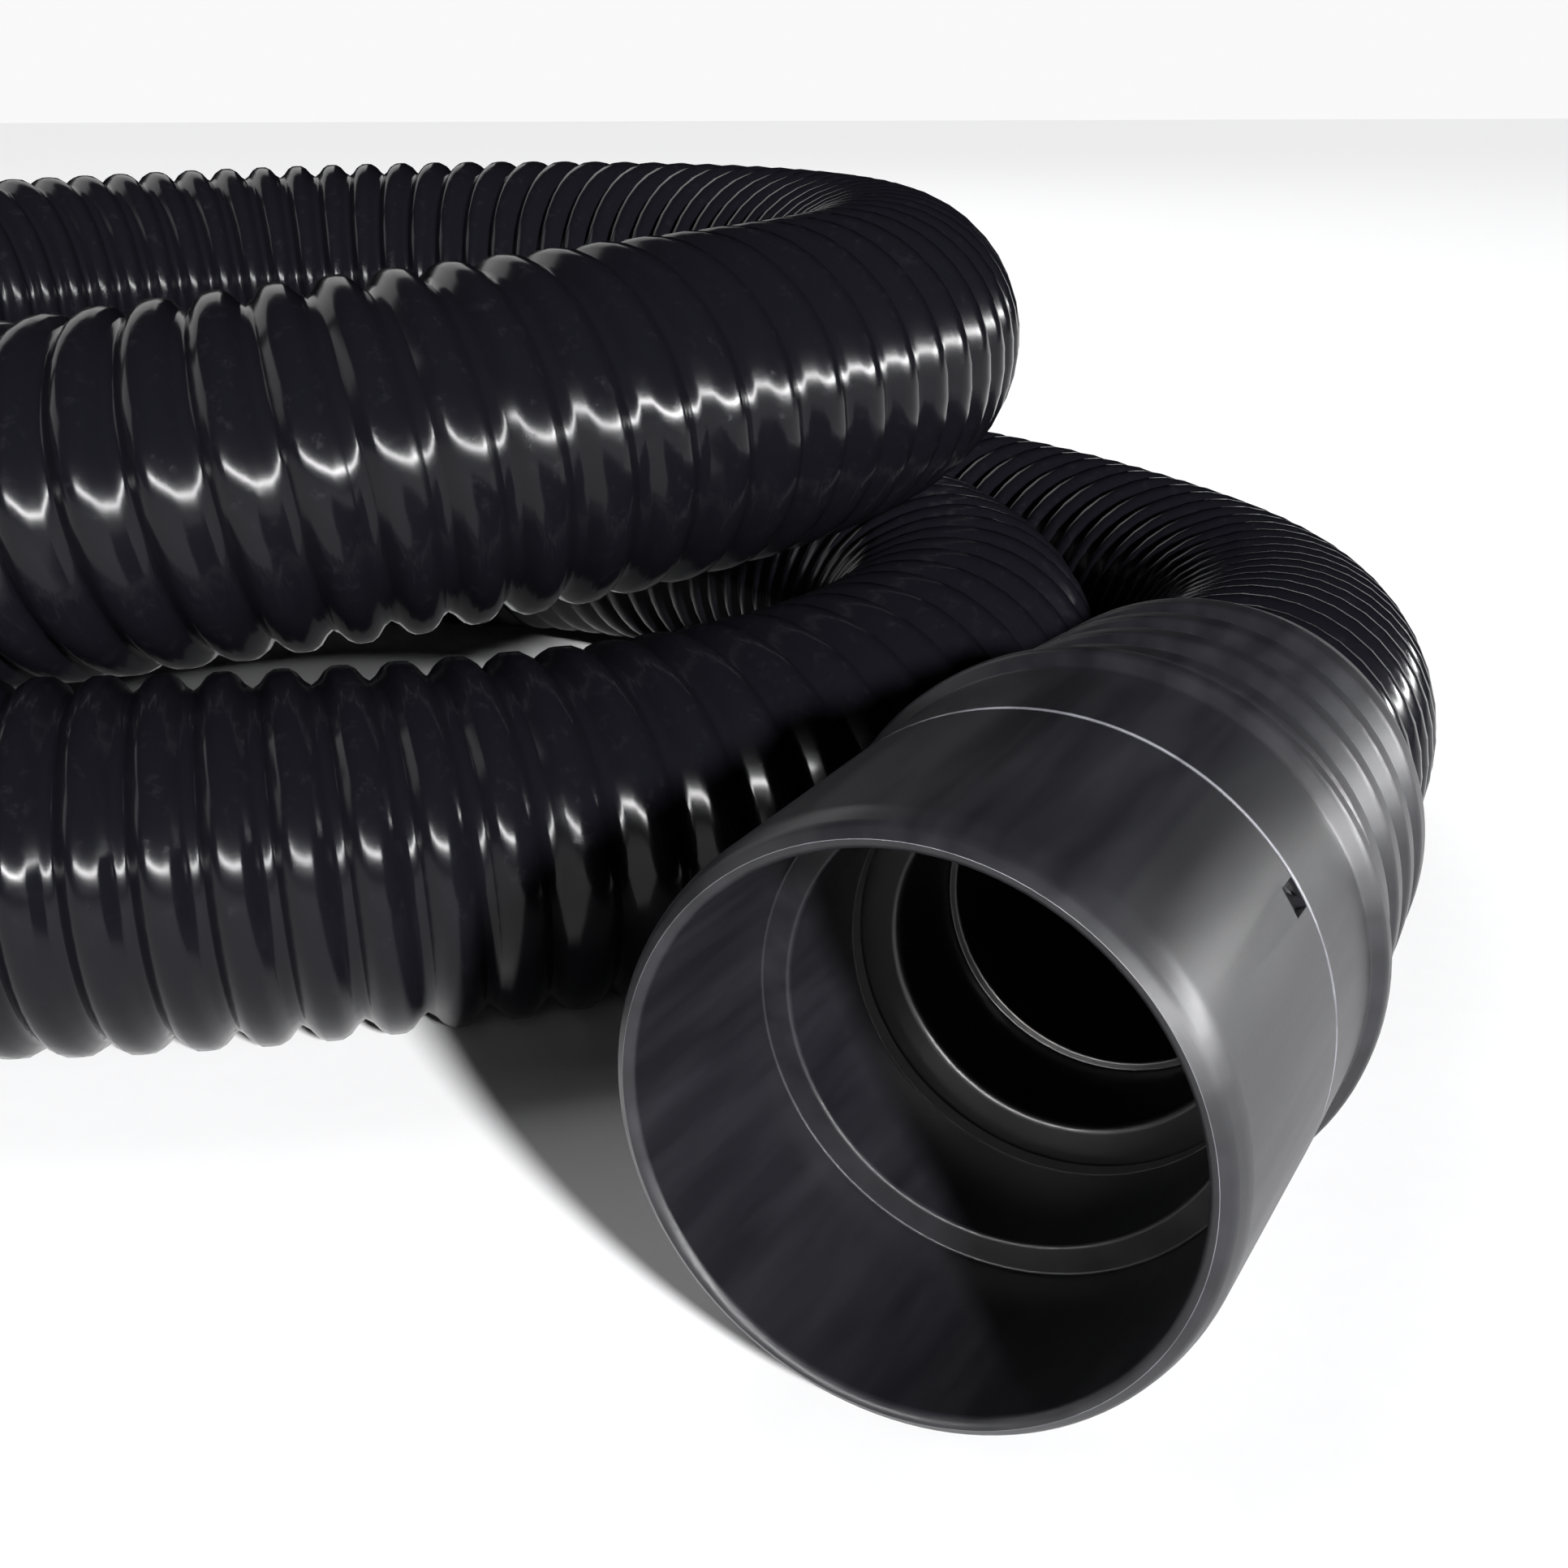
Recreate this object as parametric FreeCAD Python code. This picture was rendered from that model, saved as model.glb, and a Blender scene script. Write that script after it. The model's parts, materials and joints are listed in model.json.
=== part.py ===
"""Swimming pool vacuum hose, coiled for storage, with a swivel cuff and a fixed cuff.

Units are millimetres, +Z is up and the hose lies on the plane Z = 0.
The origin is on that plane, under the middle of the whole part.
"""

import FreeCAD
import Part
import math
import os

V = FreeCAD.Vector
UP = V(0, 0, 1)

# Hose
hose_outer_r = 23.0
hose_bore_r = 19.0

# Coil, placed about its own upright axis
coil_x = -3.3
coil_y = 38.6
coil_gap = 1.5
top_turn_r = 100.2
top_turn_from = -100.0
top_turn_to = 125.0
ring_x = -26.0
ring_y = -1.0
ring_stretch = 13.0
ring_outer_r = 143.0
ring_inner_r = 72.0
ring_edge_r = 18.0

# Cuff mouldings, both ends alike; depths run in from the mouth
cuff_bore_r = 25.5
cuff_wall = 2.7
cuff_bore_length = 25.0
mouth_edge = 0.8
lip_width = 1.7
lip_depth = 3.2
neck_wall = 2.2
split_depth = 32.0
split_gap = 0.4
neck_end_depth = 40.0
collar_length = 62.0
collar_wall = 3.92
band_length = 15.0
ring_height = 1.4
ring_width = 3.6
rib_count = 4
rib_pitch = 9.6
rib_height = 1.6
throat_wall = 1.2
shoulder_height = 0.8
neck_clearance = 0.08
hose_clearance = 0.8

# One rib of the collar: how far along its pitch, and how much of its height
rib_shape = ((0.12, 0.0), (0.35, 0.0), (0.55, 1.0), (0.90, 1.0))

# Split-line slot for opening the snap joint
slot_width = 3.0
slot_length = 3.4
slot_height = 1.2
slot_angle = -67.0

# Hose sleeve, moulded on the hose end and trapped in the cuff
flange_thickness = 4.0
running_clearance = 0.08
flange_gap = 0.3
sleeve_fit = 0.05
sleeve_wall = 1.75
sleeve_length = 44.0
inlet_step = 1.0
inlet_length = 14.0
seal_height = 1.8
washer_thickness = 1.8

# Where the cuffs lie, from the coil's axis
swivel_mouth_x = 62.0
swivel_mouth_y = -216.5
swivel_turn = 34.7
fixed_mouth_x = -130.0
fixed_mouth_y = -136.0
fixed_turn = 0.0
fixed_rise = 2.0

# Hose routes outside the coil: distances from the coil's axis, and the rise above the turn they join
lead_out_points = [
    (144.5, -90.0, 2.0),
    (155.0, -44.0, 0.0),
    (144.5, 4.0, 0.0),
    (127.5, 47.5, 0.0),
    (100.0, 80.0, 0.0),
    (68.0, 96.0, 0.0),
]
lead_in_points = [(-87.0, 61.4, 0.0), (-110.5, 31.6, 3.0)]

# How far past its collar each lead has its first bend point
swivel_straight = 4.0
fixed_straight = 14.0

# Share of the shorter of two runs that the bend between them takes
bend_share = 0.45

# Derived sizes
cuff_outer_r = cuff_bore_r + cuff_wall
throat_r = hose_outer_r + hose_clearance
neck_outer_r = throat_r + shoulder_height
cuff_neck_r = neck_outer_r - neck_wall
socket_r = neck_outer_r + neck_clearance
band_r = socket_r + collar_wall
rib_end_r = throat_r + throat_wall + rib_height
collar_ring_r = band_r + ring_height
flange_r = socket_r - running_clearance
collar_start = split_depth + split_gap
collar_end = collar_start + collar_length
seal_start = neck_end_depth
flange_front = seal_start + seal_height + flange_gap
flange_back = flange_front + flange_thickness
washer_start = flange_back + flange_gap
shoulder_depth = washer_start + washer_thickness
liner_r = hose_bore_r - sleeve_fit
sleeve_bore_r = liner_r - sleeve_wall
inlet_r = sleeve_bore_r + inlet_step
ground_turns_top = 2 * hose_outer_r
top_turn_z = ground_turns_top + coil_gap + hose_outer_r
coil_axis = V(coil_x, coil_y, 0)


def arc_revolve(outline, centre, start_angle, sweep):
    """Turns an outline in the XZ plane about the upright axis at centre."""
    face = Part.Face(outline)
    solid = face.revolve(V(0, 0, 0), UP, sweep)
    solid.rotate(V(0, 0, 0), UP, start_angle)
    solid.translate(centre)
    return solid


def closed_wire(points):
    """Joins points with straight edges and closes the outline."""
    return Part.makePolygon(points + [points[0]])


def turned(profile):
    """Turns (depth, radius) points about the Z axis, with depth along +Z."""
    points = [V(radius, 0, depth) for depth, radius in profile]
    return Part.Face(closed_wire(points)).revolve(V(0, 0, 0), UP, 360)


def direction(turn):
    """Unit vector from a cuff's mouth in towards the hose, level with the ground."""
    angle = math.radians(turn)
    return V(math.sin(angle), math.cos(angle), 0)


def laid(shape, mouth, turn):
    """Lays a piece modelled along +Z down at a cuff's mouth."""
    placed = shape.copy()
    placement = FreeCAD.Placement(mouth, FreeCAD.Rotation(UP, direction(turn)))
    placed.transformShape(placement.toMatrix(), True)
    return placed


def bent_path(points):
    """Straight runs joined by tangent arcs, each as large as its two runs allow."""
    edges = []
    radii = []
    start = points[0]
    for before, corner, after in zip(points, points[1:], points[2:]):
        back = (before - corner).normalize()
        ahead = (after - corner).normalize()
        half_turn = (math.pi - back.getAngle(ahead)) / 2
        cut = bend_share * min((before - corner).Length, (after - corner).Length)
        radius = cut / math.tan(half_turn)
        first = corner + back * cut
        last = corner + ahead * cut
        inward = (back + ahead).normalize()
        middle = corner + inward * (radius / math.cos(half_turn) - radius)
        edges.append(Part.LineSegment(start, first).toShape())
        edges.append(Part.Arc(first, middle, last).toShape())
        radii.append(radius)
        start = last
    edges.append(Part.LineSegment(start, points[-1]).toShape())
    return Part.Wire(edges), radii


def swept_round(path, radius):
    """Sweeps a round section along a path, square to its start."""
    start = path.OrderedVertexes[0].Point
    heading = path.OrderedEdges[0].tangentAt(path.OrderedEdges[0].FirstParameter)
    section = Part.Wire([Part.makeCircle(radius, start, heading)])
    return path.makePipeShell([section], True, False)


def hose_tube(name, points):
    """Hose wall along a route, with its radii and volume printed for checking."""
    path, radii = bent_path(points)
    tube = swept_round(path, hose_outer_r).cut(swept_round(path, hose_bore_r))
    expected = math.pi * (hose_outer_r**2 - hose_bore_r**2) * path.Length
    print(name, "arc radii", [round(r) for r in radii], "path length", round(path.Length))
    print(name, "volume over section times length", round(tube.Volume / expected, 4))
    return tube


def cuff_barrel():
    """Front half of a cuff: the socket for the spigot, and a neck that the collar snaps over."""
    barrel = turned([
        (0, cuff_bore_r + mouth_edge),
        (0, cuff_outer_r - lip_width),
        (lip_depth, cuff_outer_r),
        (split_depth, band_r),
        (split_depth, neck_outer_r),
        (neck_end_depth, neck_outer_r),
        (neck_end_depth, cuff_neck_r),
        (cuff_bore_length, cuff_neck_r),
        (cuff_bore_length, cuff_bore_r),
        (mouth_edge, cuff_bore_r),
    ])
    slot = Part.makeBox(slot_length, slot_width, slot_height * 2)
    slot.translate(V(-slot_length, -slot_width / 2, -slot_height))
    slot.rotate(V(0, 0, 0), V(0, 1, 0), 90)
    slot.translate(V(band_r, 0, split_depth - slot_length))
    slot.rotate(V(0, 0, 0), UP, slot_angle)
    return barrel.cut(slot)


def collar_outline():
    """Outside of the collar: a plain band, a raised ring, then ribs that taper to the hose."""
    ring_start = collar_start + band_length
    outline = [
        (collar_start, band_r),
        (ring_start, band_r),
        (ring_start + ring_height, collar_ring_r),
        (ring_start + ring_width, collar_ring_r),
    ]
    ribs_start = ring_start + ring_width
    ribs_length = rib_count * rib_pitch
    for rib in range(rib_count):
        root = ribs_start + rib * rib_pitch
        for share, lift in rib_shape:
            depth = root + share * rib_pitch
            crest = band_r + (rib_end_r - band_r) * (depth - ribs_start) / ribs_length
            outline.append((depth, crest - (1 - lift) * rib_height))
    outline.append((collar_end, rib_end_r - rib_height))
    return outline


def cuff_collar():
    """Rear half of a cuff: the socket over the neck, then a throat that clears the hose."""
    inside = [
        (collar_end, throat_r),
        (shoulder_depth, throat_r),
        (shoulder_depth, socket_r),
        (collar_start, socket_r),
    ]
    return turned(collar_outline() + inside)


def hose_sleeve():
    """Flanged liner inside the hose end, whose flange is what the cuff turns on."""
    liner_end = flange_back + sleeve_length
    inlet_end = flange_front + inlet_length
    return turned([
        (flange_front, flange_r),
        (flange_back, flange_r),
        (flange_back, liner_r),
        (liner_end, liner_r),
        (liner_end, sleeve_bore_r),
        (inlet_end, sleeve_bore_r),
        (inlet_end, inlet_r),
        (flange_front + inlet_step, inlet_r),
        (flange_front, inlet_r + inlet_step),
    ])


def ring_piece(start, thickness, inner_r, outer_r):
    """Flat ring about the cuff's axis."""
    end = start + thickness
    return turned([(start, inner_r), (start, outer_r), (end, outer_r), (end, inner_r)])


def coil_outline(inner_r, outer_r, bottom, top, edge_r, both_edges):
    """Upright section of a ring of hose, with rounded edges on top and, if asked, below."""
    edges = []
    corner = edge_r * (1 - math.sqrt(0.5))
    low = edge_r if both_edges else 0.0
    edges.append(Part.LineSegment(V(inner_r, 0, bottom + low), V(inner_r, 0, top - edge_r)))
    edges.append(Part.Arc(V(inner_r, 0, top - edge_r), V(inner_r + corner, 0, top - corner),
                          V(inner_r + edge_r, 0, top)))
    edges.append(Part.LineSegment(V(inner_r + edge_r, 0, top), V(outer_r - edge_r, 0, top)))
    edges.append(Part.Arc(V(outer_r - edge_r, 0, top), V(outer_r - corner, 0, top - corner),
                          V(outer_r, 0, top - edge_r)))
    edges.append(Part.LineSegment(V(outer_r, 0, top - edge_r), V(outer_r, 0, bottom + low)))
    if both_edges:
        edges.append(Part.Arc(V(outer_r, 0, bottom + low), V(outer_r - corner, 0, bottom + corner),
                              V(outer_r - low, 0, bottom)))
    edges.append(Part.LineSegment(V(outer_r - low, 0, bottom), V(inner_r + low, 0, bottom)))
    if both_edges:
        edges.append(Part.Arc(V(inner_r + low, 0, bottom), V(inner_r + corner, 0, bottom + corner),
                              V(inner_r, 0, bottom + low)))
    return Part.Wire([edge.toShape() for edge in edges])


def hose_coil():
    """Outer shape of the coiled length: the turns on the ground with one turn on top of them."""
    outline = coil_outline(ring_inner_r, ring_outer_r, 0, ground_turns_top, ring_edge_r, True)
    front = coil_axis + V(ring_x, ring_y, 0)
    stretch = V(0, ring_stretch, 0)
    ground = arc_revolve(outline, front + stretch, 0, 180)
    ground = ground.fuse(arc_revolve(outline, front, 180, 180))
    for side in (0, 180):
        section = Part.Face(outline)
        section.rotate(V(0, 0, 0), UP, side)
        section.translate(front)
        ground = ground.fuse(section.extrude(stretch))
    top_outline = coil_outline(
        top_turn_r - hose_outer_r,
        top_turn_r + hose_outer_r,
        hose_outer_r,
        top_turn_z + hose_outer_r,
        ring_edge_r,
        False,
    )
    top = arc_revolve(top_outline, coil_axis, top_turn_from, top_turn_to - top_turn_from)
    return ground.fuse(top).removeSplitter()


def single(shape):
    """The one solid of a shape that has only one."""
    if len(shape.Solids) != 1:
        raise ValueError("expected one solid, got %d" % len(shape.Solids))
    return shape.Solids[0]


swivel_z = collar_ring_r
swivel_mouth = coil_axis + V(swivel_mouth_x, swivel_mouth_y, swivel_z)
fixed_z = ground_turns_top + fixed_rise + collar_ring_r
fixed_mouth = coil_axis + V(fixed_mouth_x, fixed_mouth_y, fixed_z)

# The hose wall starts against the sleeve's flange, and bends where it comes out of the collar.
swivel_start = swivel_mouth + direction(swivel_turn) * flange_back
swivel_exit = swivel_mouth + direction(swivel_turn) * (collar_end + swivel_straight)
lead_out_route = [swivel_start, swivel_exit]
for x, y, rise in lead_out_points:
    lead_out_route.append(coil_axis + V(x, y, hose_outer_r + rise))

turn_end = math.radians(top_turn_to)
fixed_start = fixed_mouth + direction(fixed_turn) * flange_back
fixed_exit = fixed_mouth + direction(fixed_turn) * (collar_end + fixed_straight)
lead_in_route = [coil_axis + V(top_turn_r * math.cos(turn_end), top_turn_r * math.sin(turn_end), top_turn_z)]
for x, y, rise in lead_in_points:
    lead_in_route.append(coil_axis + V(x, y, top_turn_z + rise))
lead_in_route.extend([fixed_exit, fixed_start])

coil = hose_coil()
lead_out = hose_tube("hose_lead_swivel_end", lead_out_route).cut(coil)
lead_in = hose_tube("hose_lead_fixed_end", lead_in_route)

seal = ring_piece(seal_start, seal_height, cuff_neck_r, flange_r)
washer = ring_piece(washer_start, washer_thickness, throat_r, flange_r)

pieces = {
    "hose_coil": coil,
    "hose_lead_swivel_end": lead_out,
    "hose_lead_fixed_end": lead_in,
    "swivel_cuff_barrel": laid(cuff_barrel(), swivel_mouth, swivel_turn),
    "swivel_cuff_collar": laid(cuff_collar(), swivel_mouth, swivel_turn),
    "swivel_hose_sleeve": laid(hose_sleeve(), swivel_mouth, swivel_turn),
    "swivel_seal_ring": laid(seal, swivel_mouth, swivel_turn),
    "swivel_thrust_washer": laid(washer, swivel_mouth, swivel_turn),
    "fixed_cuff_barrel": laid(cuff_barrel(), fixed_mouth, fixed_turn),
    "fixed_cuff_collar": laid(cuff_collar(), fixed_mouth, fixed_turn),
    "fixed_hose_sleeve": laid(hose_sleeve(), fixed_mouth, fixed_turn),
    "fixed_seal_ring": laid(seal, fixed_mouth, fixed_turn),
}

os.makedirs("parts", exist_ok=True)
box = FreeCAD.BoundBox()
for name, shape in pieces.items():
    solid = single(shape)
    box.add(solid.optimalBoundingBox(False))
    solid.exportStep("parts/%s.step" % name)
print("pieces", len(pieces), "size", round(box.XLength, 1), round(box.YLength, 1), round(box.ZLength, 1))
print("middle", round(box.Center.x, 2), round(box.Center.y, 2), "lowest", round(box.ZMin, 3))
print("swivel mouth", swivel_mouth, "fixed mouth", fixed_mouth)
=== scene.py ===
"""Looks of a coiled swimming pool vacuum hose with a swivel cuff and a fixed cuff.

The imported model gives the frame. Every length is in metres, +Z is up, and the hose lies on Z = 0.
"""

import json
import logging
import math
from dataclasses import dataclass
from enum import Enum

import bmesh
import bpy
import numpy as np
from mathutils import Matrix, Vector


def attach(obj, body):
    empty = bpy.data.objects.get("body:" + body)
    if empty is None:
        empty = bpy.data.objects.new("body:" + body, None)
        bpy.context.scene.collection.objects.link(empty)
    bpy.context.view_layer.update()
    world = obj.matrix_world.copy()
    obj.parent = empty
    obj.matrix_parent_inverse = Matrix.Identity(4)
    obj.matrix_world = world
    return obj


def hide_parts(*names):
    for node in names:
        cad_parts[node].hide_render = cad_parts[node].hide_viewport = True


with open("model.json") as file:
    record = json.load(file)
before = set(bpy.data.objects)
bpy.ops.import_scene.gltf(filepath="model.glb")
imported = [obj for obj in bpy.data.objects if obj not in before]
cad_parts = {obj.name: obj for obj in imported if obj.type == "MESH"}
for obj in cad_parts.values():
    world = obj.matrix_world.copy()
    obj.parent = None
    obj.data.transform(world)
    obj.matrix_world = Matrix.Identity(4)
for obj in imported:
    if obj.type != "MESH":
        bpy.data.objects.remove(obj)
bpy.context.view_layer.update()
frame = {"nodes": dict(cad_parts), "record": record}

LOG = logging.getLogger("vacuum_hose")
UP = Vector((0.0, 0.0, 1.0))
MM = 0.001


def mm(*values: float) -> Vector:
    """A vector in metres from its sizes in millimetres."""
    return Vector(values) * MM


# ---------------------------------------------------------------- materials


def linear(hex_colour: str) -> tuple[float, float, float, float]:
    """Turns an sRGB hex colour to the linear values that shaders take.

    Args:
        hex_colour: Six hex digits after a hash sign.

    Returns:
        Red, green, blue and an alpha of 1.
    """
    parts = [int(hex_colour[i : i + 2], 16) / 255 for i in (1, 3, 5)]
    red, green, blue = (c / 12.92 if c <= 0.04045 else ((c + 0.055) / 1.055) ** 2.4 for c in parts)
    return red, green, blue, 1.0


def add_node(tree: bpy.types.NodeTree, kind: str, **values: object) -> bpy.types.Node:
    """Adds a node with its settings and links.

    Args:
        tree: The material's node tree.
        kind: The node's type name.
        **values: Settings by property name, and inputs by socket name with spaces as underscores.
            A socket as a value is linked, and any other value is set.

    Returns:
        The new node.
    """
    node = tree.nodes.new(kind)
    for key, value in values.items():
        if hasattr(node, key):
            setattr(node, key, value)
            continue
        socket = node.inputs[int(key[1:])] if key[1:].isdigit() else node.inputs[key.replace("_", " ")]
        if isinstance(value, bpy.types.NodeSocket):
            tree.links.new(value, socket)
        else:
            socket.default_value = value
    return node


def new_material(name: str) -> tuple[bpy.types.Material, bpy.types.NodeTree]:
    """A new material with an output and nothing else in its tree."""
    material = bpy.data.materials.new(name)
    material.use_nodes = True
    material.node_tree.nodes.clear()
    return material, material.node_tree


def finish_material(tree: bpy.types.NodeTree, **inputs: object) -> None:
    """Adds the shader that every finish here ends in, and links it to the output."""
    shader = add_node(tree, "ShaderNodeBsdfPrincipled", **inputs)
    add_node(tree, "ShaderNodeOutputMaterial", Surface=shader.outputs[0])


@dataclass(frozen=True)
class ExtrudedHosePlastic:
    """Polyethylene strip, extruded and wound hot into a ribbed wall.

    The melt skin is near black and mirror-like, with a slow unevenness left by winding. The crests
    are scuffed a little lighter and duller, where the turns rub on each other and on the ground.
    """

    colour: str = "#0C0C10"
    scuffed: str = "#1A1A1E"
    smooth_roughness: float = 0.14
    dull_roughness: float = 0.24
    specular: float = 0.2
    unevenness_size: float = 9 * MM
    scuff_size: float = 2.2 * MM
    ior: float = 1.51

    def make(self) -> bpy.types.Material:
        """Builds the material."""
        material, tree = new_material("extruded_black_polyethylene")
        place = add_node(tree, "ShaderNodeTexCoord").outputs["Object"]
        crest = add_node(tree, "ShaderNodeAttribute", attribute_name="crest").outputs["Fac"]
        slow = add_node(
            tree, "ShaderNodeTexNoise", Vector=place, Scale=1 / self.unevenness_size, Detail=2.0
        ).outputs["Fac"]
        scratches = add_node(
            tree, "ShaderNodeTexNoise", Vector=place, Scale=1 / self.scuff_size, Detail=5.0, Roughness=0.7
        ).outputs["Fac"]
        scuff = add_node(
            tree, "ShaderNodeMapRange", Value=scratches, From_Min=0.56, From_Max=0.74, To_Min=0.0, To_Max=0.5
        ).outputs[0]
        worn = add_node(
            tree, "ShaderNodeMath", operation="MULTIPLY", i0=scuff, i1=crest
        ).outputs[0]
        colour = add_node(
            tree,
            "ShaderNodeMix",
            data_type="RGBA",
            i0=worn,
            i6=linear(self.colour),
            i7=linear(self.scuffed),
        ).outputs[2]
        uneven = add_node(
            tree,
            "ShaderNodeMapRange",
            Value=slow,
            From_Min=0.3,
            From_Max=0.7,
            To_Min=self.smooth_roughness,
            To_Max=(self.smooth_roughness + self.dull_roughness) / 2,
        ).outputs[0]
        roughness = add_node(
            tree, "ShaderNodeMath", operation="MULTIPLY_ADD", i0=worn, i1=self.dull_roughness, i2=uneven
        ).outputs[0]
        bump = add_node(tree, "ShaderNodeBump", Height=slow, Strength=0.25, Distance=0.15 * MM).outputs[0]
        finish_material(
            tree,
            Base_Color=colour,
            Roughness=roughness,
            IOR=self.ior,
            Specular_IOR_Level=self.specular,
            Normal=bump,
        )
        return material


@dataclass(frozen=True)
class MouldedCuffPlastic:
    """Polyethylene, injection moulded in a spark-eroded tool.

    The tool's fine grain makes it satin, a tone lighter than the hose. Faint streaks run along the
    cuff, in the direction it was drawn off the tool, and its rounded outer edges carry a pale painted
    highlight.
    """

    turn: float
    colour: str = "#131317"
    streak_colour: str = "#1E1E22"
    # Pale grey of the painted highlight on the rounded outer edges
    edge_highlight_colour: str = "#6E6E74"
    roughness: float = 0.36
    streaky_roughness: float = 0.44
    specular: float = 0.4
    grain_size: float = 0.45 * MM
    streak_size: float = 3.5 * MM
    streak_stretch: float = 0.12
    ior: float = 1.51

    def make(self) -> bpy.types.Material:
        """Builds the material, with its streaks along a cuff turned by self.turn from +Y."""
        material, tree = new_material("moulded_satin_polyethylene")
        place = add_node(tree, "ShaderNodeTexCoord").outputs["Object"]
        along = add_node(
            tree, "ShaderNodeMapping", Vector=place, Rotation=(0.0, 0.0, self.turn)
        ).outputs[0]
        drawn = add_node(
            tree, "ShaderNodeMapping", Vector=along, Scale=(1.0, self.streak_stretch, 1.0)
        ).outputs[0]
        streaks = add_node(
            tree, "ShaderNodeTexNoise", Vector=drawn, Scale=1 / self.streak_size, Detail=3.0
        ).outputs["Fac"]
        grain = add_node(
            tree, "ShaderNodeTexNoise", Vector=place, Scale=1 / self.grain_size, Detail=2.0
        ).outputs["Fac"]
        share = add_node(
            tree, "ShaderNodeMapRange", Value=streaks, From_Min=0.35, From_Max=0.75
        ).outputs[0]
        moulded = add_node(
            tree,
            "ShaderNodeMix",
            data_type="RGBA",
            i0=share,
            i6=linear(self.colour),
            i7=linear(self.streak_colour),
        ).outputs[2]
        # Painted highlight: the rounded outer edges, stored as worn, are painted pale in patches in place of
        # their lit edge line
        worn = add_node(tree, "ShaderNodeAttribute", attribute_name="worn").outputs["Fac"]
        patchy = add_node(
            tree, "ShaderNodeMapRange", Value=streaks, From_Min=0.3, From_Max=0.6, To_Min=0.5
        ).outputs[0]
        painted_edge_highlight = add_node(tree, "ShaderNodeMath", operation="MULTIPLY", i0=worn, i1=patchy).outputs[0]
        colour = add_node(
            tree,
            "ShaderNodeMix",
            data_type="RGBA",
            i0=painted_edge_highlight,
            i6=moulded,
            i7=linear(self.edge_highlight_colour),
        ).outputs[2]
        roughness = add_node(
            tree,
            "ShaderNodeMapRange",
            Value=share,
            To_Min=self.roughness,
            To_Max=self.streaky_roughness,
        ).outputs[0]
        bump = add_node(tree, "ShaderNodeBump", Height=grain, Strength=0.3, Distance=0.03 * MM).outputs[0]
        finish_material(
            tree,
            Base_Color=colour,
            Roughness=roughness,
            IOR=self.ior,
            Specular_IOR_Level=self.specular,
            Normal=bump,
        )
        return material


@dataclass(frozen=True)
class SmallPartFinish:
    """Finish of a small plain part, with the mottle that its making leaves."""

    name: str
    colour: str
    mottled: str
    roughness: float
    mottle_size: float
    relief: float
    ior: float

    def make(self) -> bpy.types.Material:
        """Builds the material."""
        material, tree = new_material(self.name)
        place = add_node(tree, "ShaderNodeTexCoord").outputs["Object"]
        mottle = add_node(
            tree, "ShaderNodeTexNoise", Vector=place, Scale=1 / self.mottle_size, Detail=4.0
        ).outputs["Fac"]
        colour = add_node(
            tree,
            "ShaderNodeMix",
            data_type="RGBA",
            i0=mottle,
            i6=linear(self.colour),
            i7=linear(self.mottled),
        ).outputs[2]
        roughness = add_node(
            tree,
            "ShaderNodeMapRange",
            Value=mottle,
            To_Min=self.roughness * 0.85,
            To_Max=self.roughness * 1.15,
        ).outputs[0]
        bump = add_node(tree, "ShaderNodeBump", Height=mottle, Strength=0.3, Distance=self.relief).outputs[0]
        finish_material(tree, Base_Color=colour, Roughness=roughness, IOR=self.ior, Normal=bump)
        return material


# Polished moulding with a little moulding dust, as glossy inside the mouth as the hose is outside
LINER = SmallPartFinish("moulded_liner_polyethylene", "#0D0D10", "#18181B", 0.3, 1.2 * MM, 0.02 * MM, 1.51)
# Cured EPDM: dull, dark and faintly bloomed
SEAL = SmallPartFinish("cured_epdm_rubber", "#101010", "#1E1D1C", 0.72, 0.8 * MM, 0.05 * MM, 1.52)
# Machined natural nylon: milky and low in gloss
WASHER = SmallPartFinish("machined_natural_nylon", "#D8D2C0", "#C9C2AE", 0.45, 1.5 * MM, 0.02 * MM, 1.53)
# Matt white board with a fine tooth
FLOOR = SmallPartFinish("matt_white_board", "#F4F4F5", "#EFEFF0", 0.85, 6 * MM, 0.02 * MM, 1.45)


# ---------------------------------------------------------------- pieces


def object_from(bm: bmesh.types.BMesh, name: str, material: bpy.types.Material) -> bpy.types.Object:
    """Makes an object at the origin from a bmesh, shaded smooth, and frees the bmesh.

    Args:
        bm: The finished mesh, in its place in the row frame.
        name: The object's name.
        material: Its one material.

    Returns:
        The new object, linked to the scene.
    """
    for face in bm.faces:
        face.smooth = True
    mesh = bpy.data.meshes.new(name)
    bm.to_mesh(mesh)
    bm.free()
    mesh.materials.append(material)
    piece = bpy.data.objects.new(name, mesh)
    bpy.context.scene.collection.objects.link(piece)
    return piece


def hold(piece: bpy.types.Object, body: str, slot: str, *nodes: str) -> bpy.types.Object:
    """Puts a piece on its body in place of its CAD nodes, and reports it."""
    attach(piece, body)
    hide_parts(*nodes)
    LOG.info("%s rides on %s in place of %s", piece.name, body, ", ".join(nodes))
    return piece


@dataclass(frozen=True)
class Corner:
    """A corner of a turned outline: its depth in from the mouth, its radius and its edge's rounding."""

    depth: float
    radius: float
    rounding: float = 0.2


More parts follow.
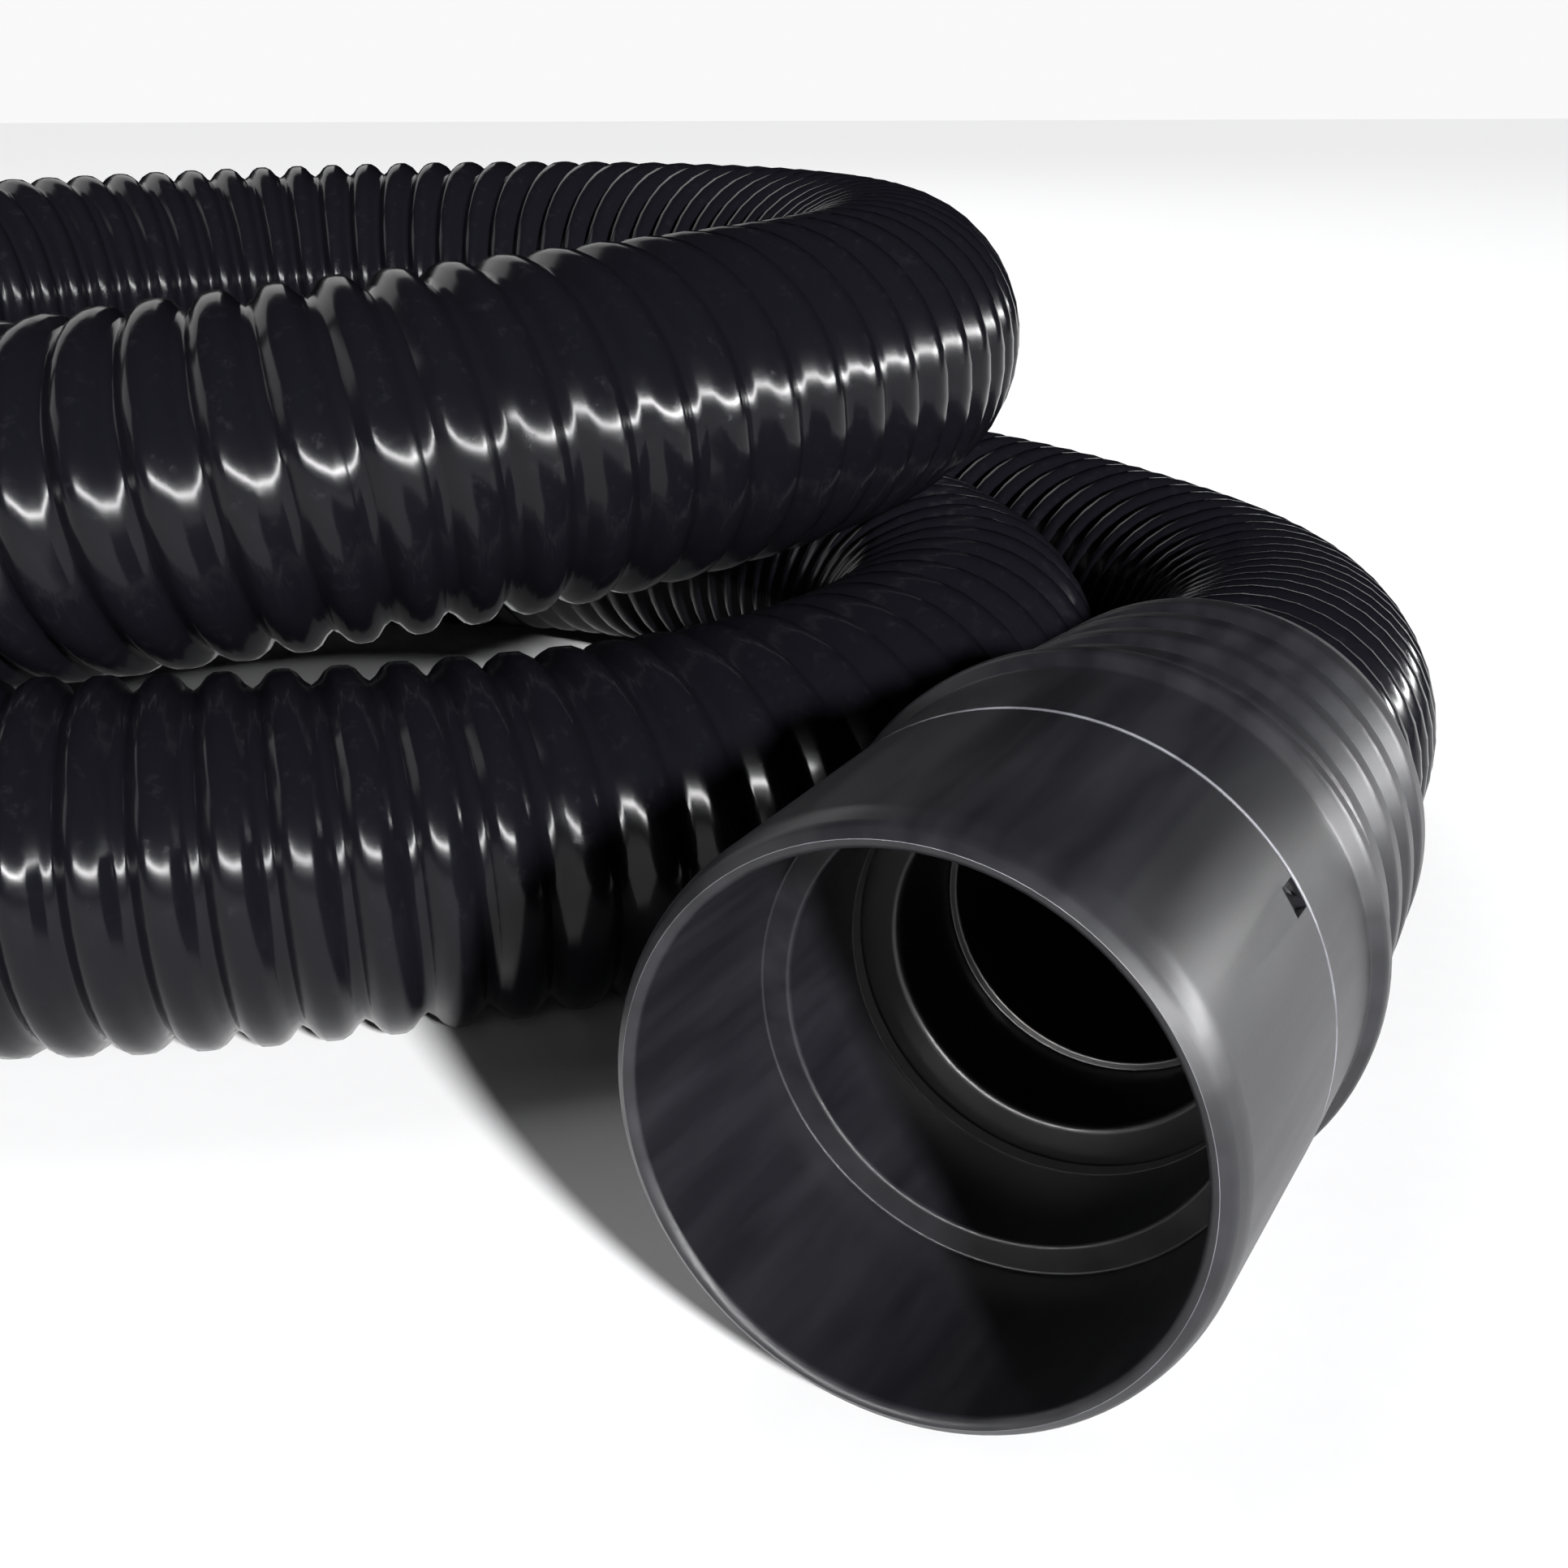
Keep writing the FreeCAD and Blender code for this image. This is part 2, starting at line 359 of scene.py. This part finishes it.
def turned(corners: list[Corner], steps: int, round_segments: int = 3) -> bmesh.types.BMesh:
    """Turns a closed outline about the Z axis, with its corners rounded.

    Args:
        corners: The outline in millimetres, in order.
        steps: Faces round the axis.
        round_segments: Faces across each rounded corner.

    Returns:
        A closed mesh with depth along +Z, in metres.
    """
    bm = bmesh.new()
    verts = [bm.verts.new(mm(corner.radius, 0, corner.depth)) for corner in corners]
    for one, other in zip(verts, verts[1:] + verts[:1]):
        bm.edges.new((one, other))
    for vert, corner in zip(verts, corners):
        if corner.rounding:
            bmesh.ops.bevel(
                bm,
                geom=[vert],
                offset=corner.rounding * MM,
                segments=round_segments,
                profile=0.5,
                affect="VERTICES",
                material=-1,
            )
    bmesh.ops.spin(
        bm,
        geom=bm.verts[:] + bm.edges[:],
        cent=(0, 0, 0),
        axis=UP,
        angle=math.tau,
        steps=steps,
        use_merge=True,
    )
    bmesh.ops.remove_doubles(bm, verts=bm.verts, dist=1e-6)
    bmesh.ops.recalc_face_normals(bm, faces=bm.faces)
    return bm


def mark_edge_highlight(bm: bmesh.types.BMesh, reach: float, least_angle: float = 20.0, full_angle: float = 28.0) -> None:
    """Stores the painted highlight of each vertex: 1 on the middle of a rounded outer edge, and 0 elsewhere.

    Args:
        bm: A closed mesh turned about the Z axis, with its normals outward.
        reach: Radius in millimetres outside which edges get the painted highlight.
        least_angle: Degrees between two faces where the painted highlight starts.
        full_angle: Degrees between two faces where the painted highlight is full.
    """
    # The worn layer holds the painted edge highlight
    worn = bm.verts.layers.float.new("worn")
    for vert in bm.verts:
        if vert.co.xy.length < reach * MM:
            continue
        sharpest = math.degrees(max(edge.calc_face_angle_signed(0.0) for edge in vert.link_edges))
        vert[worn] = min(max((sharpest - least_angle) / (full_angle - least_angle), 0.0), 1.0)


class CuffEnd(Enum):
    """The two cuffs by the name that their mounts and nodes start with."""

    SWIVEL = "swivel"
    FIXED = "fixed"

    @property
    def body(self) -> str:
        """The body that the cuff's mouldings move with."""
        return "swivel_cuff" if self is CuffEnd.SWIVEL else "hose"


@dataclass
class Cuff:
    """One push-on cuff: a barrel, a collar that snaps on behind it, and the hose's sleeve in it.

    Sizes are in millimetres, and depths run in from the mouth.
    """

    end: CuffEnd
    bore_r: float = 25.5
    outer_r: float = 28.2
    lip_depth: float = 3.2
    lip_width: float = 1.7
    bore_length: float = 25.0
    neck_r: float = 22.4
    neck_outer_r: float = 24.6
    split_depth: float = 32.0
    split_gap: float = 0.4
    neck_end: float = 40.0
    collar_end: float = 94.4
    band_r: float = 28.6
    band_length: float = 15.0
    ring_height: float = 1.4
    ring_width: float = 3.6
    rib_count: int = 4
    rib_pitch: float = 9.6
    rib_height: float = 1.6
    rib_end_r: float = 26.6
    socket_r: float = 24.68
    throat_r: float = 23.8
    shoulder_depth: float = 48.2
    flange_r: float = 24.6
    flange_front: float = 42.1
    flange_back: float = 46.1
    liner_r: float = 18.95
    sleeve_bore_r: float = 17.2
    sleeve_lip_r: float = 18.2
    sleeve_lip_length: float = 14.0
    sleeve_length: float = 44.0
    slot_width: float = 3.0
    slot_length: float = 3.4
    slot_height: float = 1.2
    slot_angle: float = -67.0
    mount_depth: float = 12.9
    steps: int = 120

    def __post_init__(self) -> None:
        """Takes the cuff's place from its mount, whose axis points out of the mouth."""
        mounts = {mount["name"]: mount for mount in frame["record"]["mounts"]}
        mount = mounts[self.end.value + "_mouth"]
        self.inward = -Vector(mount["axis"])
        self.mouth = Vector(mount["pos_m"]) - self.inward * self.mount_depth * MM
        self.turn = math.atan2(self.inward.x, self.inward.y)

    def point(self, depth: float) -> Vector:
        """The point on the cuff's axis at a depth in millimetres."""
        return self.mouth + self.inward * depth * MM

    def laid(self, bm: bmesh.types.BMesh) -> bmesh.types.BMesh:
        """Moves a mesh made along +Z to the cuff's axis."""
        place = Matrix.Translation(self.mouth) @ UP.rotation_difference(self.inward).to_matrix().to_4x4()
        bmesh.ops.transform(bm, matrix=place, verts=bm.verts)
        return bm

    def barrel_outline(self) -> list[Corner]:
        """Front moulding: a rounded lip, the socket for a spigot and the neck behind it."""
        return [
            Corner(0, self.bore_r + 0.6, 0.35),
            Corner(0, self.outer_r - self.lip_width, 0.3),
            Corner(self.lip_depth * 0.3, self.outer_r - self.lip_width * 0.35, 0.5),
            Corner(self.lip_depth, self.outer_r, 0.8),
            Corner(self.split_depth, self.band_r, 0.25),
            Corner(self.split_depth, self.neck_outer_r),
            Corner(self.neck_end, self.neck_outer_r),
            Corner(self.neck_end, self.neck_r, 0.4),
            Corner(self.bore_length, self.neck_r, 0.5),
            Corner(self.bore_length, self.bore_r, 0.3),
            Corner(0.6, self.bore_r, 0.25),
        ]

    def collar_outline(self) -> list[Corner]:
        """Rear moulding: a plain band, a raised ring, tapering ribs and a throat round the hose."""
        start = self.split_depth + self.split_gap
        ring_start = start + self.band_length
        ribs_start = ring_start + self.ring_width
        outline = [
            Corner(start, self.band_r, 0.25),
            Corner(ring_start, self.band_r, 0.3),
            Corner(ring_start + self.ring_height, self.band_r + self.ring_height, 0.5),
            Corner(ribs_start, self.band_r + self.ring_height, 0.5),
        ]
        ribs_length = self.rib_count * self.rib_pitch
        for rib in range(self.rib_count):
            for share, lift in ((0.12, 0), (0.35, 0), (0.55, 1), (0.90, 1)):
                depth = ribs_start + (rib + share) * self.rib_pitch
                taper = (self.band_r - self.rib_end_r) * (depth - ribs_start) / ribs_length
                outline.append(Corner(depth, self.band_r - taper - (1 - lift) * self.rib_height, 0.5))
        return outline + [
            Corner(self.collar_end, self.rib_end_r - self.rib_height, 0.3),
            Corner(self.collar_end, self.throat_r, 0.3),
            Corner(self.shoulder_depth, self.throat_r),
            Corner(self.shoulder_depth, self.socket_r),
            Corner(start, self.socket_r),
        ]

    def sleeve_outline(self) -> list[Corner]:
        """The hose's sleeve: a flange, a wide lip inside it and a long liner in the hose."""
        end = self.flange_back + self.sleeve_length
        return [
            Corner(self.flange_front, self.flange_r, 0.4),
            Corner(self.flange_back, self.flange_r, 0.4),
            Corner(self.flange_back, self.liner_r),
            Corner(end, self.liner_r),
            Corner(end, self.sleeve_bore_r, 0.5),
            Corner(self.flange_front + self.sleeve_lip_length, self.sleeve_bore_r, 0.4),
            Corner(self.flange_front + self.sleeve_lip_length, self.sleeve_lip_r),
            Corner(self.flange_front, self.sleeve_lip_r, 0.9),
        ]

    def moulding(self, part: str, outline: list[Corner], finish: bpy.types.Material) -> bpy.types.Object:
        """Makes one turned moulding with even normals on its flat faces."""
        bm = turned(outline, self.steps)
        # Marks the rounded outer edges that are painted pale as a highlight
        mark_edge_highlight(bm, reach=self.neck_outer_r)
        piece = object_from(self.laid(bm), f"{self.end.value}_{part}", finish)
        if part == "barrel":
            self.cut_slot(piece)
        piece.modifiers.new("even_normals", "WEIGHTED_NORMAL")
        return piece

    def cut_slot(self, barrel: bpy.types.Object) -> None:
        """Cuts the slot for opening the snap joint into the barrel's rear edge."""
        size = Matrix.Diagonal((2 * self.slot_height, self.slot_width, self.slot_length, 1 / MM)) * MM
        middle = Matrix.Translation(mm(self.band_r, 0, self.split_depth - self.slot_length / 2))
        bm = bmesh.new()
        bmesh.ops.create_cube(bm, matrix=Matrix.Rotation(math.radians(self.slot_angle), 4, UP) @ middle @ size)
        cutter = object_from(self.laid(bm), "slot_cutter", barrel.data.materials[0])
        slot = barrel.modifiers.new("slot", "BOOLEAN")
        slot.object = cutter
        slot.operation = "DIFFERENCE"
        slot.solver = "EXACT"
        bpy.context.view_layer.update()
        evaluated = barrel.evaluated_get(bpy.context.evaluated_depsgraph_get())
        whole = barrel.data
        barrel.data = bpy.data.meshes.new_from_object(evaluated)
        barrel.modifiers.remove(slot)
        bpy.data.objects.remove(cutter)
        bpy.data.meshes.remove(whole)

    def build(self, liner: bpy.types.Material) -> list[bpy.types.Object]:
        """Builds the cuff's mouldings in place of their nodes.

        Args:
            liner: The finish of the hose's sleeve.

        Returns:
            The barrel, the collar and the sleeve.
        """
        name = self.end.value
        satin = MouldedCuffPlastic(self.turn).make()
        barrel = self.moulding("barrel", self.barrel_outline(), satin)
        collar = self.moulding("collar", self.collar_outline(), satin)
        sleeve = self.moulding("sleeve", self.sleeve_outline(), liner)
        hold(barrel, self.end.body, "cuff_moulding", f"{name}_cuff_barrel")
        hold(collar, self.end.body, "cuff_moulding", f"{name}_cuff_collar")
        hold(sleeve, "hose", "hose_sleeve", f"{name}_hose_sleeve")
        return [barrel, collar, sleeve]


# ---------------------------------------------------------------- hose


@dataclass(frozen=True)
class Station:
    """Where the coiled hose's line passes an angle, in degrees, with its radius and height in mm."""

    angle: float
    radius: float
    height: float


@dataclass
class Hose:
    """The ribbed hose between the two cuffs, in millimetres.

    It leaves the swivel cuff on the ground, makes one turn and a half there, climbs on the side
    away from the cuffs' mouths, makes one turn on top and ends in the fixed cuff.
    """

    start_cuff: Cuff
    end_cuff: Cuff
    outer_r: float = 23.0
    bore_r: float = 19.0
    rib_depth: float = 2.3
    wound_blocks: tuple[int, ...] = (8, 7, 5)
    rib_points: int = 8
    rib_sharpness: int = 4
    round_steps: int = 40
    bore_steps: int = 24
    bore_rings: int = 150
    coil_centre: tuple[float, float] = (-3.3, 38.6)
    coil_step: int = 30
    top_turn_start: float = 660.0
    top_turn_height: float = 70.8
    top_turn_tilt: tuple[float, float] = (2.7, 2.1)
    start_exit: float = 98.4
    end_exit: float = 108.4
    samples_per_point: int = 24

    def leaving(self) -> list[tuple[float, float, float]]:
        """Points between the swivel cuff and the coil, from the coil's centre."""
        return [
            (145.0, -90.0, 25.0),
            (155.5, -44.0, 23.0),
            (145.5, 4.0, 23.0),
            (127.5, 47.5, 23.0),
            (101.0, 85.0, 23.0),
        ]

    def stations(self) -> list[Station]:
        """Places along the coil, one and a half loose turns on the ground and one laid on them."""
        return [
            Station(60, 128.6, 23.0),
            Station(120, 132.0, 23.0),
            Station(180, 138.0, 23.0),
            Station(225, 133.0, 23.0),
            Station(270, 120.5, 23.0),
            Station(300, 125.0, 23.0),
            Station(330, 121.0, 25.3),
            Station(360, 98.0, 27.4),
            Station(390, 82.0, 27.2),
            Station(420, 80.0, 25.2),
            Station(450, 82.5, 23.5),
            Station(500, 85.0, 25.0),
            Station(570, 91.0, 46.5),
            Station(600, 95.0, 58.0),
            Station(630, 99.0, 66.0),
            Station(650, 100.2, 70.0),
            Station(840, 100.2, 70.0),
        ]

    def arriving(self) -> list[tuple[float, float, float]]:
        """Points between the top turn and the fixed cuff, from the coil's centre."""
        return [(-87.0, 61.4, 70.5), (-110.5, 31.6, 73.5)]

    def coil(self) -> list[tuple[float, float, float]]:
        """Control points of the coil's turns, from its centre.

        Returns:
            Points outside the line by the share that a smooth curve cuts each corner.
        """
        stations = self.stations()
        angles = [station.angle for station in stations]
        outset = 1 / math.cos(math.radians(self.coil_step / 2))
        points = []
        for angle in range(int(angles[0]), int(angles[-1]) + 1, self.coil_step):
            radius = outset * float(np.interp(angle, angles, [s.radius for s in stations]))
            height = float(np.interp(angle, angles, [s.height for s in stations]))
            across, along = math.cos(math.radians(angle)), math.sin(math.radians(angle))
            if angle >= self.top_turn_start:
                tilt_across, tilt_along = self.top_turn_tilt
                height = self.top_turn_height + tilt_across * across + tilt_along * along
            points.append((radius * across, radius * along, height))
        return points

    def route(self) -> list[Vector]:
        """Every control point from the swivel cuff's flange to the fixed cuff's, in metres."""
        centre = Vector((*self.coil_centre, 0.0))
        loose = self.leaving() + self.coil() + self.arriving()
        start, end = self.start_cuff, self.end_cuff
        return [
            start.point(start.flange_back),
            start.point(self.start_exit),
            *((centre + Vector(point)) * MM for point in loose),
            end.point(self.end_exit),
            end.point(end.flange_back),
        ]

    def line(self) -> np.ndarray:
        """Points along the smooth curve through the route, close together, in metres."""
        route = self.route()
        curve = bpy.data.curves.new("hose_route", "CURVE")
        curve.dimensions = "3D"
        curve.resolution_u = self.samples_per_point
        spline = curve.splines.new("NURBS")
        spline.points.add(len(route) - 1)
        for point, place in zip(spline.points, route):
            point.co = (*place, 1.0)
        spline.order_u = 3
        spline.use_endpoint_u = True
        guide = bpy.data.objects.new("hose_route", curve)
        bpy.context.scene.collection.objects.link(guide)
        bpy.context.view_layer.update()
        mesh = bpy.data.meshes.new_from_object(guide)
        points = np.array([vert.co for vert in mesh.vertices])
        bpy.data.objects.remove(guide)
        bpy.data.curves.remove(curve)
        bpy.data.meshes.remove(mesh)
        return points

    def wound_wall(self, length: float) -> bmesh.types.BMesh:
        """The outside of a straight hose along +Z: one rib's strip wound in a close helix.

        Args:
            length: The hose's length in metres.

        Returns:
            An open tube cut square at both ends, in metres.
        """
        pitch = length / (math.prod(self.wound_blocks) - 1)
        valley = self.outer_r - self.rib_depth
        bm = bmesh.new()
        verts = []
        for step in range(self.rib_points + 1):
            share = step / self.rib_points
            lift = 1 - math.cos(math.pi * share) ** self.rib_sharpness
            radius = (valley + lift * self.rib_depth) * MM
            verts.append(bm.verts.new((radius, 0.0, (share - 1) * pitch)))
        for one, other in zip(verts, verts[1:]):
            bm.edges.new((one, other))
        bmesh.ops.spin(
            bm,
            geom=bm.verts[:] + bm.edges[:],
            cent=(0, 0, 0),
            axis=UP,
            dvec=UP * pitch / self.round_steps,
            angle=math.tau,
            steps=self.round_steps,
        )
        turns = 1
        for copies in self.wound_blocks:
            block = bm.verts[:] + bm.edges[:] + bm.faces[:]
            for copy in range(1, copies):
                copied = bmesh.ops.duplicate(bm, geom=block)["geom"]
                moved = [item for item in copied if isinstance(item, bmesh.types.BMVert)]
                bmesh.ops.translate(bm, verts=moved, vec=UP * pitch * turns * copy)
            turns *= copies
        bmesh.ops.remove_doubles(bm, verts=bm.verts, dist=0.01 * MM)
        for height, outward in ((0.0, -UP), (length, UP)):
            bmesh.ops.bisect_plane(
                bm,
                geom=bm.verts[:] + bm.edges[:] + bm.faces[:],
                dist=1e-7,
                plane_co=(0.0, 0.0, height),
                plane_no=outward,
                clear_outer=True,
            )
        return bm

    def add_bore(self, bm: bmesh.types.BMesh, length: float) -> None:
        """Adds the smooth bore to a straight wall and closes the two ends."""
        made = bmesh.ops.create_cone(
            bm,
            cap_ends=False,
            segments=self.bore_steps,
            radius1=self.bore_r * MM,
            radius2=self.bore_r * MM,
            depth=length,
            matrix=Matrix.Translation(UP * length / 2),
        )
        edges = {edge for vert in made["verts"] for edge in vert.link_edges}
        upright = [edge for edge in edges if edge.calc_length() > length / 2]
        bmesh.ops.subdivide_edges(bm, edges=upright, cuts=self.bore_rings, use_grid_fill=True)
        open_edges = [edge for edge in bm.edges if edge.is_boundary]
        for low, high in ((-length, length / 2), (length / 2, 2 * length)):
            ring = [edge for edge in open_edges if low < edge.verts[0].co.z < high]
            bmesh.ops.bridge_loops(bm, edges=ring)
        bmesh.ops.recalc_face_normals(bm, faces=bm.faces)

    def bend(self, mesh: bpy.types.Mesh, line: np.ndarray) -> None:
        """Bends a straight hose along a line, turning its section no more than the line does.

        Args:
            mesh: The straight hose along +Z.
            line: Points along the line, close together.
        """
        steps = np.linalg.norm(np.diff(line, axis=0), axis=1)
        travelled = np.concatenate([[0.0], np.cumsum(steps)])
        tangents = np.gradient(line, travelled, axis=0)
        tangents /= np.linalg.norm(tangents, axis=1)[:, None]
        side = Vector(tangents[0]).orthogonal().normalized()
        sides = [np.array(side)]
        for before, after in zip(tangents, tangents[1:]):
            side = Vector(before).rotation_difference(Vector(after)) @ side
            sides.append(np.array(side))
        others = np.cross(tangents, sides)
        co = np.zeros(len(mesh.vertices) * 3)
        mesh.vertices.foreach_get("co", co)
        co = co.reshape(-1, 3)

        def at(values: np.ndarray) -> np.ndarray:
            """The line's values where each vertex is along it."""
            return np.stack([np.interp(co[:, 2], travelled, column) for column in values.T], axis=-1)

        bent = at(line) + co[:, :1] * at(np.array(sides)) + co[:, 1:2] * at(others)
        mesh.vertices.foreach_set("co", bent.ravel())
        mesh.update()

    def mark_crests(self, mesh: bpy.types.Mesh) -> None:
        """Stores how near each vertex is to a crest, from 0 in a valley and in the bore to 1."""
        co = np.zeros(len(mesh.vertices) * 3)
        mesh.vertices.foreach_get("co", co)
        radius = np.hypot(*co.reshape(-1, 3)[:, :2].T) / MM
        crest = np.clip((radius - self.outer_r + self.rib_depth) / self.rib_depth, 0, 1)
        attribute = mesh.attributes.new("crest", "FLOAT", "POINT")
        attribute.data.foreach_set("value", crest.astype(np.float32))

    def build(self, fixed_pieces: list[bpy.types.Object]) -> bpy.types.Object:
        """Builds the hose along its route in place of its CAD solids.

        Args:
            fixed_pieces: The pieces of the cuff at the hose's far end. Not used.

        Returns:
            The hose.
        """
        line = self.line()
        length = float(np.linalg.norm(np.diff(line, axis=0), axis=1).sum())
        bm = self.wound_wall(length)
        self.add_bore(bm, length)
        hose = object_from(bm, "hose_wall", ExtrudedHosePlastic().make())
        self.mark_crests(hose.data)
        self.bend(hose.data, line)
        hold(hose, "hose", "hose_wall", "hose_coil", "hose_lead_swivel_end", "hose_lead_fixed_end")
        LOG.info("hose_wall is %.3f m long", length)
        return hose


# ---------------------------------------------------------------- studio


@dataclass(frozen=True)
class Softbox:
    """A rectangular studio light, in metres and watts, turned to face a point."""

    name: str
    place: tuple[float, float, float]
    width: float
    height: float
    power: float
    lights_surfaces: bool = True
    gleams: bool = True
    aim: tuple[float, float, float] = (0.0, 0.0, 0.05)

    def build(self) -> None:
        """Adds the light, which may light surfaces, show as a gleam in them, or both."""
        light = bpy.data.lights.new(self.name, "AREA")
        light.shape = "RECTANGLE"
        light.size = self.width
        light.size_y = self.height
        light.energy = self.power
        lamp = bpy.data.objects.new(self.name, light)
        lamp.location = self.place
        lamp.rotation_euler = (Vector(self.aim) - Vector(self.place)).to_track_quat("-Z", "Y").to_euler()
        lamp.visible_diffuse = self.lights_surfaces
        lamp.visible_glossy = self.gleams
        bpy.context.scene.collection.objects.link(lamp)


@dataclass
class Studio:
    """A white floor under a white sky, a low hard key light in front on the right, and soft fill lights."""

    camera_place: tuple[float, float, float] = (0.0267, -0.3255, 0.1128)
    camera_pan: float = 0.1496
    camera_tilt: float = 0.3289
    lens: float = 47.32
    sensor: float = 36.0
    floor_size: float = 12.0
    strip_arc: tuple[float, float] = (-25.0, 75.0)
    strip_count: int = 6
    strip_radius: float = 0.45
    strip_height: float = 0.135
    strip_width: float = 0.16
    strip_thickness: float = 0.012
    strip_power: float = 0.9
    key_side: float = 14.5
    key_height: float = 21.0
    key_strength: float = 9.2
    key_spread: float = 5.0

    def lights(self) -> list[Softbox]:
        """The lights that shape the gloss."""
        softboxes = [
            Softbox("top_soft", (-0.2, 0.6, 1.6), 1.2, 0.8, 4.5, gleams=False),
            Softbox("back_soft", (-0.8, 1.6, 1.0), 2.0, 0.8, 5.0),
            Softbox("left_soft", (-1.7, 0.1, 0.8), 1.2, 0.8, 4.5),
        ]
        for index, angle in enumerate(np.radians(np.linspace(*self.strip_arc, self.strip_count))):
            place = (
                self.strip_radius * math.sin(angle),
                -self.strip_radius * math.cos(angle),
                self.strip_height,
            )
            softboxes.append(
                Softbox(f"strip_{index}", place, self.strip_width, self.strip_thickness, self.strip_power, lights_surfaces=False)
            )
        return softboxes

    def build(self) -> None:
        """Adds the floor, the sky, the lights and the camera."""
        bm = bmesh.new()
        bmesh.ops.create_grid(bm, x_segments=8, y_segments=8, size=self.floor_size / 2)
        floor = object_from(bm, "floor", FLOOR.make())
        world = bpy.data.worlds.new("white_sky")
        bpy.context.scene.world = world
        world.use_nodes = True
        background = world.node_tree.nodes["Background"]
        background.inputs["Color"].default_value = (1.0, 1.0, 1.0, 1.0)
        background.inputs["Strength"].default_value = 0.95
        world.cycles_visibility.glossy = False
        world.cycles_visibility.diffuse = False
        bpy.context.scene.view_settings.view_transform = "Standard"
        self.build_key()
        for softbox in self.lights():
            softbox.build()
        self.build_camera()

    def build_key(self) -> None:
        """Adds the main light, far away in front and low on the right."""
        light = bpy.data.lights.new("key", "SUN")
        light.energy = self.key_strength
        light.angle = math.radians(self.key_spread)
        key = bpy.data.objects.new("key", light)
        key.rotation_euler = (math.radians(90 - self.key_height), 0.0, math.radians(self.key_side))
        key.visible_glossy = False
        bpy.context.scene.collection.objects.link(key)

    def build_camera(self) -> None:
        """Adds the camera at its place, panned right of +Y and tilted down."""
        ahead = Vector(
            (
                math.sin(self.camera_pan) * math.cos(self.camera_tilt),
                math.cos(self.camera_pan) * math.cos(self.camera_tilt),
                -math.sin(self.camera_tilt),
            )
        )
        data = bpy.data.cameras.new("camera")
        data.lens = self.lens
        data.sensor_width = self.sensor
        data.clip_start = 0.01
        camera = bpy.data.objects.new("camera", data)
        camera.location = self.camera_place
        camera.rotation_euler = ahead.to_track_quat("-Z", "Y").to_euler()
        bpy.context.scene.collection.objects.link(camera)
        bpy.context.scene.camera = camera


def dress_small_parts() -> None:
    """Gives the CAD nodes that stay in sight or inside their finishes."""
    seal = SEAL.make()
    washer = WASHER.make()
    for node, material in (
        ("swivel_seal_ring", seal),
        ("fixed_seal_ring", seal),
        ("swivel_thrust_washer", washer),
    ):
        mesh = frame["nodes"][node].data
        mesh.materials.clear()
        mesh.materials.append(material)
        LOG.info("%s is dressed in %s", node, material.name)


def main() -> None:
    """Builds the cuffs, the hose, the small parts and the studio."""
    logging.basicConfig(level=logging.INFO, format="%(message)s")
    liner = LINER.make()
    swivel = Cuff(CuffEnd.SWIVEL)
    fixed = Cuff(CuffEnd.FIXED)
    swivel.build(liner)
    fixed_pieces = fixed.build(liner)
    Hose(swivel, fixed).build(fixed_pieces)
    dress_small_parts()
    Studio().build()


if __name__ == "__main__":
    main()
